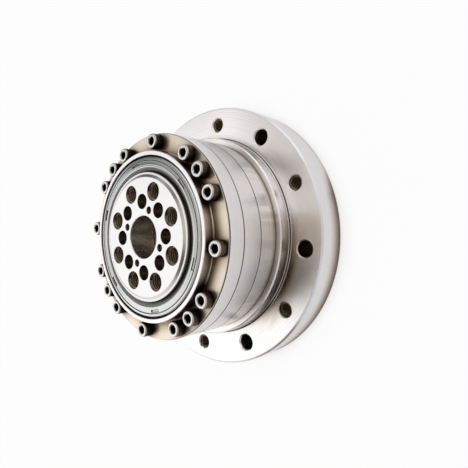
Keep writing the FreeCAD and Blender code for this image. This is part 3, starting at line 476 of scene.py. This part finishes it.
# Face ground steel: almost white, because the fine grinding scatters the light.
# Painted shade, a pale brown, darkens its bore and holes.
ground_steel = turned_steel("face_ground_steel", "#e6e5e4", "#dddbd8", 0.26,
                            feed=0.45, cut=0.002, grain=0.35, pits=0.003, edge=0.2,
                            shade_reach=20.0, brown="#b3a897")
dress("output_flange", ground_steel)

output_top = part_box("output_flange")[1].z
output_lead_in = 1.6 * MM
load_thread = tapped("load_hole_threads", circle=31.25 * MM, first_angle=29.7,
                     mouth=output_top - output_lead_in, major=6.0 * MM,
                     pitch=1.75 * MM, turns=8.5, holes=8)
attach(load_thread, "output")


# Flexspline cup, its clamp plate, screws and dowel pins
# A thin cup of tough steel, pressed oval at its toothed mouth. The plate and eight screws
# clamp its floor under the output flange, and four pins stop it from creeping.

# Shot peened alloy steel: thin, dull grey, with a fine dimpled skin.
cup_steel = turned_steel("peened_alloy_steel", "#b4b1ad", "#9a9692", 0.34,
                         feed=0.8, cut=0.002, grain=0.5, pits=0.008)
dress("flexspline", cup_steel)

# Plain machined steel, lightly oiled: mid grey with faint lines.
machined_steel = turned_steel("oiled_machined_steel", "#b9b6b2", "#9b9792", 0.30,
                              feed=0.7, cut=0.004, grain=0.5, pits=0.003)
dress("clamp_plate", machined_steel)
dress("dowel_pins", drawn_steel)

# Screw steel, dark from its oxide bath with the raised parts rubbed bright.
oxide_steel = turned_steel("rubbed_oxide_steel", "#a5a29b", "#7f7c76", 0.33,
                           feed=0.5, cut=0.003, grain=0.4, pits=0.004)
dress("clamp_screws", oxide_steel)


# Wave generator
# The motor turns the hub, the hub's lugs turn the floating insert, and the insert turns
# the oval plug. The thin bearing on the plug pushes the cup's teeth into the spline.

for bearing_part in ("bearing_outer_race", "bearing_inner_race", "bearing_balls"):
    dress(bearing_part, ball_steel)
dress("ball_separator", nylon)
dress("wave_generator_plug", machined_steel)
dress("oldham_insert", machined_steel)

# Acetal washers: milky white and smooth.
acetal = moulded_plastic("turned_acetal", "#ecebe6", "#dedcd5", 0.35, grain=0.5,
                         depth=0.004)
dress("rub_washers", acetal)

# Stamped spring steel, dark grey from its oil.
spring_steel = turned_steel("stamped_spring_steel", "#77736f", "#5a5753", 0.3,
                            feed=0.8, cut=0.002, grain=0.5, pits=0.004)
dress("retaining_ring", spring_steel)
dress("wave_generator_hub", machined_steel)


# Seal in the hub
# A pressed metal case with six marks, pressed into the hub, and the rubber lip bonded
# inside it, which wipes the output ring.

def ringed_case_metal():
    """Pressed steel case, faced with a broad tool: its rings, drawn 0.9 mm wide, lean
    outwards, and are a little green from a phosphate bath."""
    ring_width = 0.9
    material, tree, shader, place = new_material("ringed_case_metal")
    flat = add_node(tree, "ShaderNodeVectorMath", {"operation": "MULTIPLY"},
                    {0: place, 1: (1, 1, 0)})
    outward = add_node(tree, "ShaderNodeVectorMath", {"operation": "NORMALIZE"},
                       {0: flat.outputs[0]})
    radius = add_node(tree, "ShaderNodeVectorMath", {"operation": "LENGTH"},
                      {0: flat.outputs[0]})
    rings = add_node(tree, "ShaderNodeTexNoise", {"noise_dimensions": "1D"},
                     {"W": radius.outputs["Value"], "Scale": 1 / (ring_width * MM),
                      "Detail": 1.0})
    lean = add_node(tree, "ShaderNodeMapRange", None,
                    {"Value": rings.outputs[0], "From Min": 0.3, "From Max": 0.7,
                     "To Min": 0.05, "To Max": 0.38})
    tilt = add_node(tree, "ShaderNodeVectorMath", {"operation": "SCALE"},
                    {0: outward.outputs[0], "Scale": lean.outputs[0]})
    soft = add_node(tree, "ShaderNodeBevel", {"samples": 6}, {"Radius": 0.15 * MM})
    leaning = add_node(tree, "ShaderNodeVectorMath", {"operation": "ADD"},
                       {0: soft.outputs[0], 1: tilt.outputs[0]})
    normal = add_node(tree, "ShaderNodeVectorMath", {"operation": "NORMALIZE"},
                      {0: leaning.outputs[0]})
    colour = add_node(tree, "ShaderNodeMix", {"data_type": "RGBA"},
                      {"Factor": rings.outputs[0], 6: linear("#b4b8b4"),
                       7: linear("#f6f8f6")})
    # Painted shade, nearly black, in the grooves of the marks and the case's corners.
    tree.links.new(with_painted_shade(tree, colour.outputs[2], place, 1.2, "#1d1b19"),
                   shader.inputs["Base Color"])
    tree.links.new(normal.outputs[0], shader.inputs["Normal"])
    shader.inputs["Roughness"].default_value = 0.3
    shader.inputs["Metallic"].default_value = 1.0
    return material


dress("seal_case", ringed_case_metal())


def coated_lip_rubber():
    """Black lip, and round it the grey band where the rubber is bonded to the case."""
    bonded_from = 44.0
    lip = moulded_rubber("bonded_lip_rubber", "#141413", "#262524", 0.45, grain=0.6)
    tree = lip.node_tree
    base = tree.nodes["Principled BSDF"].inputs["Base Color"]
    place = add_node(tree, "ShaderNodeTexCoord").outputs["Object"]
    flat = add_node(tree, "ShaderNodeVectorMath", {"operation": "MULTIPLY"},
                    {0: place, 1: (1, 1, 0)})
    radius = add_node(tree, "ShaderNodeVectorMath", {"operation": "LENGTH"},
                      {0: flat.outputs[0]})
    band = add_node(tree, "ShaderNodeMapRange", None,
                    {"Value": radius.outputs["Value"], "From Min": bonded_from * MM,
                     "From Max": (bonded_from + 0.3) * MM})
    colour = add_node(tree, "ShaderNodeMix", {"data_type": "RGBA"},
                      {"Factor": band.outputs[0], 6: base.links[0].from_socket,
                       7: linear("#a3a5a0")})
    tree.links.new(colour.outputs[2], base)
    return lip


dress("seal_lip", coated_lip_rubber())


# Assembly screws
# Sixteen M6 socket screws with knurled heads, four to a quarter, from the seat down into
# the flange. Their heads are plated, with a painted highlight round the top and painted
# shade down the sides.

SCREW_CIRCLE = 62.8 * MM
SCREW_PLACES = 24
KNURLS = 48
AROUND = 2 * KNURLS
HEAD_RADIUS = 5.0 * MM
HEAD_HEIGHT = 6.0 * MM
SOCKET_HALF = 2.5 * MM
SHANK_RADIUS = 2.95 * MM

screw_low, screw_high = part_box("assembly_screws")
head_top = screw_high.z
seat = head_top - HEAD_HEIGHT


def hexagon_reach(angle):
    """Distance from the axis to the socket's flat wall, at an angle."""
    off_middle = math.fmod(angle, math.radians(60)) - math.radians(30)
    return SOCKET_HALF / math.cos(off_middle)


def screw_loops():
    """Rings of points from the tip up over the head and down into the socket."""
    tip_edge, neck_fillet, seat_edge = 0.6 * MM, 0.25 * MM, 0.35 * MM
    knurl, knurl_end, corner = 0.13 * MM, 0.35 * MM, 0.9 * MM
    lead_in, socket_depth, drill_point = 0.5 * MM, 3.4 * MM, 4.6 * MM
    mouth = SOCKET_HALF / math.cos(math.radians(30)) + 0.35 * MM
    loops = [("round", 0.0, screw_low.z), ("round", SHANK_RADIUS - tip_edge, screw_low.z),
             ("round", SHANK_RADIUS, screw_low.z + tip_edge),
             ("round", SHANK_RADIUS, seat - 0.3 * MM),
             ("round", SHANK_RADIUS + neck_fillet, seat),
             ("round", HEAD_RADIUS - seat_edge, seat),
             ("round", HEAD_RADIUS - knurl, seat + 0.3 * MM),
             ("knurled", HEAD_RADIUS, seat + 0.55 * MM),
             ("knurled", HEAD_RADIUS, head_top - corner - knurl_end),
             ("round", HEAD_RADIUS - knurl, head_top - corner)]
    for step in range(1, 6):
        angle = math.radians(18 * step)
        loops.append(("round", HEAD_RADIUS - knurl - corner + corner * math.cos(angle),
                      head_top - corner + corner * math.sin(angle)))
    loops += [("round", mouth, head_top), ("hexagon", 0.0, head_top - lead_in),
              ("hexagon", 0.0, head_top - socket_depth),
              ("round", SOCKET_HALF * 0.86, head_top - socket_depth - 0.15 * MM),
              ("round", 0.0, head_top - drill_point)]
    return loops


def loop_points(form, radius, height):
    """Points of one ring: every other one of a knurled ring lies deeper."""
    groove = 0.2 * MM
    for step in range(AROUND):
        angle = 2 * math.pi * step / AROUND
        reach = radius
        if form == "hexagon":
            reach = hexagon_reach(angle)
        elif form == "knurled" and step % 2:
            reach = radius - groove
        yield Vector((reach * math.cos(angle), reach * math.sin(angle), height))


def skin(name, loops):
    """Closed mesh over a row of loops, of which the first and the last are one point."""
    spots = []
    starts = []
    for form, radius, height in loops:
        starts.append(len(spots))
        if form == "round" and radius == 0:
            spots.append(Vector((0, 0, height)))
        else:
            spots += loop_points(form, radius, height)
    starts.append(len(spots))
    faces = []
    for first, second, after in zip(starts, starts[1:], starts[2:]):
        for step in range(AROUND):
            ahead = (step + 1) % AROUND
            if second - first == 1:
                faces.append((first, second + ahead, second + step))
            elif after - second == 1:
                faces.append((first + step, first + ahead, second))
            else:
                faces.append((first + step, first + ahead, second + ahead, second + step))
    mesh = bpy.data.meshes.new(name)
    mesh.from_pydata(spots, [], faces)
    mesh.update()
    return mesh


def screw_tree(screw):
    """Screws on a circle, in each quarter one at 0, 30, 45 and 60 degrees: of its six
    places the second and the sixth are empty. Each screw is turned on from the last."""
    tree = bpy.data.node_groups.new("screws_in_quarters", "GeometryNodeTree")
    sockets = tree.interface
    sockets.new_socket("Geometry", in_out="OUTPUT", socket_type="NodeSocketGeometry")
    sockets.new_socket("Circle", in_out="INPUT", socket_type="NodeSocketFloat")
    sockets.new_socket("Turn Of Each", in_out="INPUT", socket_type="NodeSocketFloat")
    sockets.new_socket("Places", in_out="INPUT", socket_type="NodeSocketInt")
    sockets.new_socket("Steel", in_out="INPUT", socket_type="NodeSocketMaterial")
    given = tree.nodes.new("NodeGroupInput").outputs
    places = add_node(tree, "GeometryNodeMeshCircle", None,
                      {"Vertices": given["Places"], "Radius": given["Circle"]})
    index = add_node(tree, "GeometryNodeInputIndex").outputs[0]
    within = add_node(tree, "ShaderNodeMath", {"operation": "MODULO"}, {0: index, 1: 6.0})
    beyond_fourth = add_node(tree, "ShaderNodeMath", {"operation": "SUBTRACT"},
                             {0: within.outputs[0], 1: 3.0})
    away = add_node(tree, "ShaderNodeMath", {"operation": "ABSOLUTE"},
                    {0: beyond_fourth.outputs[0]})
    empty = add_node(tree, "ShaderNodeMath", {"operation": "COMPARE"},
                     {0: away.outputs[0], 1: 2.0, 2: 0.5})
    taken = add_node(tree, "GeometryNodeDeleteGeometry", {"domain": "POINT"},
                     {"Geometry": places.outputs[0], "Selection": empty.outputs[0]})
    turned_on = add_node(tree, "ShaderNodeMath", {"operation": "MULTIPLY"},
                         {0: index, 1: given["Turn Of Each"]})
    turn = add_node(tree, "ShaderNodeCombineXYZ", None, {2: turned_on.outputs[0]})
    one = add_node(tree, "GeometryNodeObjectInfo", None, {"Object": screw})
    copies = add_node(tree, "GeometryNodeInstanceOnPoints", None,
                      {"Points": taken.outputs[0], "Instance": one.outputs["Geometry"],
                       "Rotation": turn.outputs[0]})
    whole = add_node(tree, "GeometryNodeRealizeInstances", None, {0: copies.outputs[0]})
    finish = add_node(tree, "GeometryNodeSetMaterial", None,
                      {"Geometry": whole.outputs[0], "Material": given["Steel"]})
    out = tree.nodes.new("NodeGroupOutput")
    tree.links.new(finish.outputs[0], out.inputs[0])
    return tree


def plated_screw_steel():
    """Plated steel: brown down the sides as painted shade, with a painted highlight round
    the top of the head, and painted shade deeper near the seat.
    """
    grain_size = 0.8
    material, tree, shader, place = new_material("plated_screw_steel")
    parts = add_node(tree, "ShaderNodeSeparateXYZ", None, {0: place})
    # Painted highlight: the top of the head turns pale.
    painted_highlight_band = add_node(tree, "ShaderNodeMapRange", {"interpolation_type": "SMOOTHSTEP"},
                      {"Value": parts.outputs[2], "From Min": head_top - 0.8 * MM,
                       "From Max": head_top - 0.3 * MM})
    grain = add_node(tree, "ShaderNodeTexNoise", None,
                     {"Vector": place, "Scale": 1 / (grain_size * MM), "Detail": 3.0})
    # Painted shade: the sides are brown.
    shaded_sides = add_node(tree, "ShaderNodeMix", {"data_type": "RGBA"},
                    {"Factor": grain.outputs[0], 6: linear("#564b41"),
                     7: linear("#877b6f")})
    colour = add_node(tree, "ShaderNodeMix", {"data_type": "RGBA"},
                      {"Factor": painted_highlight_band.outputs[0], 6: shaded_sides.outputs[2],
                       7: linear("#e0dcd7")})
    relief = add_node(tree, "ShaderNodeBump", None,
                      {"Height": grain.outputs[0], "Distance": 0.02 * MM, "Strength": 0.6})
    tree.links.new(with_painted_shade(tree, colour.outputs[2], place, 7.0, "#1d1813"),
                   shader.inputs["Base Color"])
    tree.links.new(relief.outputs[0], shader.inputs["Normal"])
    shader.inputs["Roughness"].default_value = 0.3
    shader.inputs["Metallic"].default_value = 1.0
    return material


# Plated steel of the screws, with painted shade brown down to the seat. Its grain is drawn
# at 0.8 mm, coarser than real, so that it shows.
plated_steel = plated_screw_steel()
pattern_screw = bpy.data.objects.new("pattern_screw", skin("pattern_screw", screw_loops()))
bpy.context.scene.collection.objects.link(pattern_screw)
screws = grown("knurled_screws", screw_tree(pattern_screw), circle=SCREW_CIRCLE,
               turn_of_each=math.radians(23), places=SCREW_PLACES, steel=plated_steel)
bpy.data.objects.remove(pattern_screw)
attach(screws, "housing")
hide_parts("assembly_screws")


# Floor, light and camera
# The unit stands on its flange on a white sheet, in a room that only its steel shows: a
# white wall beyond it, and beige and brown above the camera. Two soft lights stand in it.

FLOOR_HALF = 3.0
FLOOR_LOW = -0.05 * MM
floor_mesh = bpy.data.meshes.new("floor")
floor_mesh.from_pydata([(across * FLOOR_HALF, along * FLOOR_HALF, FLOOR_LOW)
                        for across, along in ((-1, -1), (1, -1), (1, 1), (-1, 1))],
                       [], [(0, 1, 2, 3)])
floor = bpy.data.objects.new("floor", floor_mesh)
bpy.context.scene.collection.objects.link(floor)


def white_sheet():
    """Matt white paper that glows white where it is open to the sky. Near the unit and in
    its holes the glow fades, a painted shadow over the paper's real one, so it turns grey
    there.
    Seen in the steel it glows a little less."""
    shadow_reach, mirrored_share = 60.0, 0.6
    material, tree, shader = new_material("white_paper")[:3]
    shader.inputs["Base Color"].default_value = linear("#f4f4f4")
    shader.inputs["Roughness"].default_value = 0.9
    shader.inputs["Specular IOR Level"].default_value = 0.0
    glow = add_node(tree, "ShaderNodeEmission", None, {"Color": linear("#ffffff")})
    # Painted shadow: the glow fades where the unit shuts the paper in.
    open_sky = add_node(tree, "ShaderNodeAmbientOcclusion", {"samples": 8},
                        {"Distance": shadow_reach * MM}).outputs["AO"]
    lit = add_node(tree, "ShaderNodeMapRange", {"interpolation_type": "SMOOTHSTEP"},
                   {"Value": open_sky, "From Min": 0.1, "From Max": 0.7, "To Max": 0.96})
    way = add_node(tree, "ShaderNodeLightPath").outputs
    mirrored = add_node(tree, "ShaderNodeMath", {"operation": "MULTIPLY"},
                        {0: way["Is Glossy Ray"], 1: mirrored_share})
    looked_at = add_node(tree, "ShaderNodeMath", {"operation": "MAXIMUM"},
                         {0: way["Is Camera Ray"], 1: mirrored.outputs[0]})
    share = add_node(tree, "ShaderNodeMath", {"operation": "MULTIPLY"},
                     {0: looked_at.outputs[0], 1: lit.outputs[0]})
    both = add_node(tree, "ShaderNodeMixShader", None,
                    {0: share.outputs[0], 1: shader.outputs[0], 2: glow.outputs[0]})
    tree.links.new(both.outputs[0], tree.nodes["Material Output"].inputs["Surface"])
    return material


floor_mesh.materials.append(white_sheet())


# What the steel mirrors, later patches over earlier ones: colour, middle, and the cosines
# of the angles from the middle at which the patch ends and is full.
ROOM_PATCHES = {
    "white wall beyond the unit": ("#fcfdff", (-0.72, -0.10, 0.69), 0.75, 0.93),
    "beige ceiling": ("#d9cfb8", (0.25, 0.00, 0.97), 0.72, 0.90),
    "brown beam": ("#6f614c", (0.10, -0.05, 0.99), 0.84, 0.97),
    "pale lamp overhead": ("#e2e0dc", (0.00, 0.00, 1.00), 0.955, 0.985),
    "dark frame of a window": ("#4f4029", (-0.37, 0.42, 0.83), 0.93, 0.98),
    "window": ("#ffffff", (0.35, 0.51, 0.79), 0.88, 0.97),
    "brown shelf": ("#8a7757", (0.54, 0.02, 0.84), 0.91, 0.985),
    "dark corner": ("#20160b", (0.29, -0.49, 0.82), 0.88, 0.97),
    "grey curtain": ("#4f514c", (-0.81, 0.44, 0.38), 0.92, 0.985),
    "lamp beyond the unit": ("#ffffff", (-0.66, -0.62, 0.42), 0.86, 0.95),
    "dull wall at the side": ("#6f655a", (0.14, -0.98, 0.16), 0.88, 0.98)}


def room():
    """Grey room with its patches for the steel to mirror. The camera sees plain white."""
    world = bpy.data.worlds.new("room")
    bpy.context.scene.world = world
    world.use_nodes = True
    tree = world.node_tree
    way = add_node(tree, "ShaderNodeTexCoord").outputs["Generated"]
    colour = add_node(tree, "ShaderNodeRGB").outputs[0]
    colour.default_value = linear("#dddde0")
    for name, (code, middle, edge, core) in ROOM_PATCHES.items():
        facing = add_node(tree, "ShaderNodeVectorMath", {"operation": "DOT_PRODUCT"},
                          {0: way, 1: Vector(middle).normalized()})
        share = add_node(tree, "ShaderNodeMapRange", {"interpolation_type": "SMOOTHSTEP"},
                         {"Value": facing.outputs["Value"], "From Min": edge,
                          "From Max": core})
        patch = add_node(tree, "ShaderNodeMix", {"data_type": "RGBA", "label": name},
                         {"Factor": share.outputs[0], 6: colour, 7: linear(code)})
        colour = patch.outputs[2]
    backdrop = tree.nodes["Background"]
    tree.links.new(colour, backdrop.inputs["Color"])
    plain = add_node(tree, "ShaderNodeBackground", None, {"Color": linear("#ffffff")})
    eye = add_node(tree, "ShaderNodeLightPath").outputs["Is Camera Ray"]
    both = add_node(tree, "ShaderNodeMixShader", None,
                    {0: eye, 1: backdrop.outputs[0], 2: plain.outputs[0]})
    tree.links.new(both.outputs[0], tree.nodes["World Output"].inputs["Surface"])


room()


def soft_light(name, direction, distance, side, glow):
    """Square soft light that faces the unit, at a distance in a direction from it, with
    its side in metres. glow is its brightness, 1 for white."""
    lamp = bpy.data.lights.new(name, "AREA")
    lamp.shape = "SQUARE"
    lamp.size = side
    lamp.energy = glow * math.pi * side * side
    holder = bpy.data.objects.new(name, lamp)
    bpy.context.scene.collection.objects.link(holder)
    middle = Vector((0, 0, 50 * MM))
    holder.location = middle + Vector(direction).normalized() * distance
    holder.rotation_mode = "QUATERNION"
    holder.rotation_quaternion = (holder.location - middle).to_track_quat("Z", "Y")


soft_light("key_light", (-0.75, -0.15, 0.65), 1.0, 0.9, 0.3)
soft_light("side_light", (0.2, 1.0, 0.4), 1.2, 0.7, 0.3)

# The camera is close, 0.33 m from the middle of the rear face, and lies on its side, so
# the axis runs across the picture. Its place and ways are fitted to the rims in the photo.
camera_place = Vector((0.21609, 0.02586, 0.24442))
view_way = Vector((-0.65483, -0.07591, -0.75195))
up_way = Vector((-0.09981, 0.99491, -0.01352))
camera = bpy.data.objects.new("camera", bpy.data.cameras.new("camera"))
bpy.context.scene.collection.objects.link(camera)
right_way = view_way.cross(up_way).normalized()
up_way = right_way.cross(view_way).normalized()
turn = Matrix((right_way, up_way, -view_way)).transposed().to_4x4()
camera.matrix_world = Matrix.Translation(camera_place) @ turn
camera.data.lens = 30.69
camera.data.sensor_width = 36
camera.data.clip_start = 0.01
bpy.context.scene.camera = camera
bpy.context.scene.view_settings.view_transform = "Standard"

bpy.context.view_layer.update()
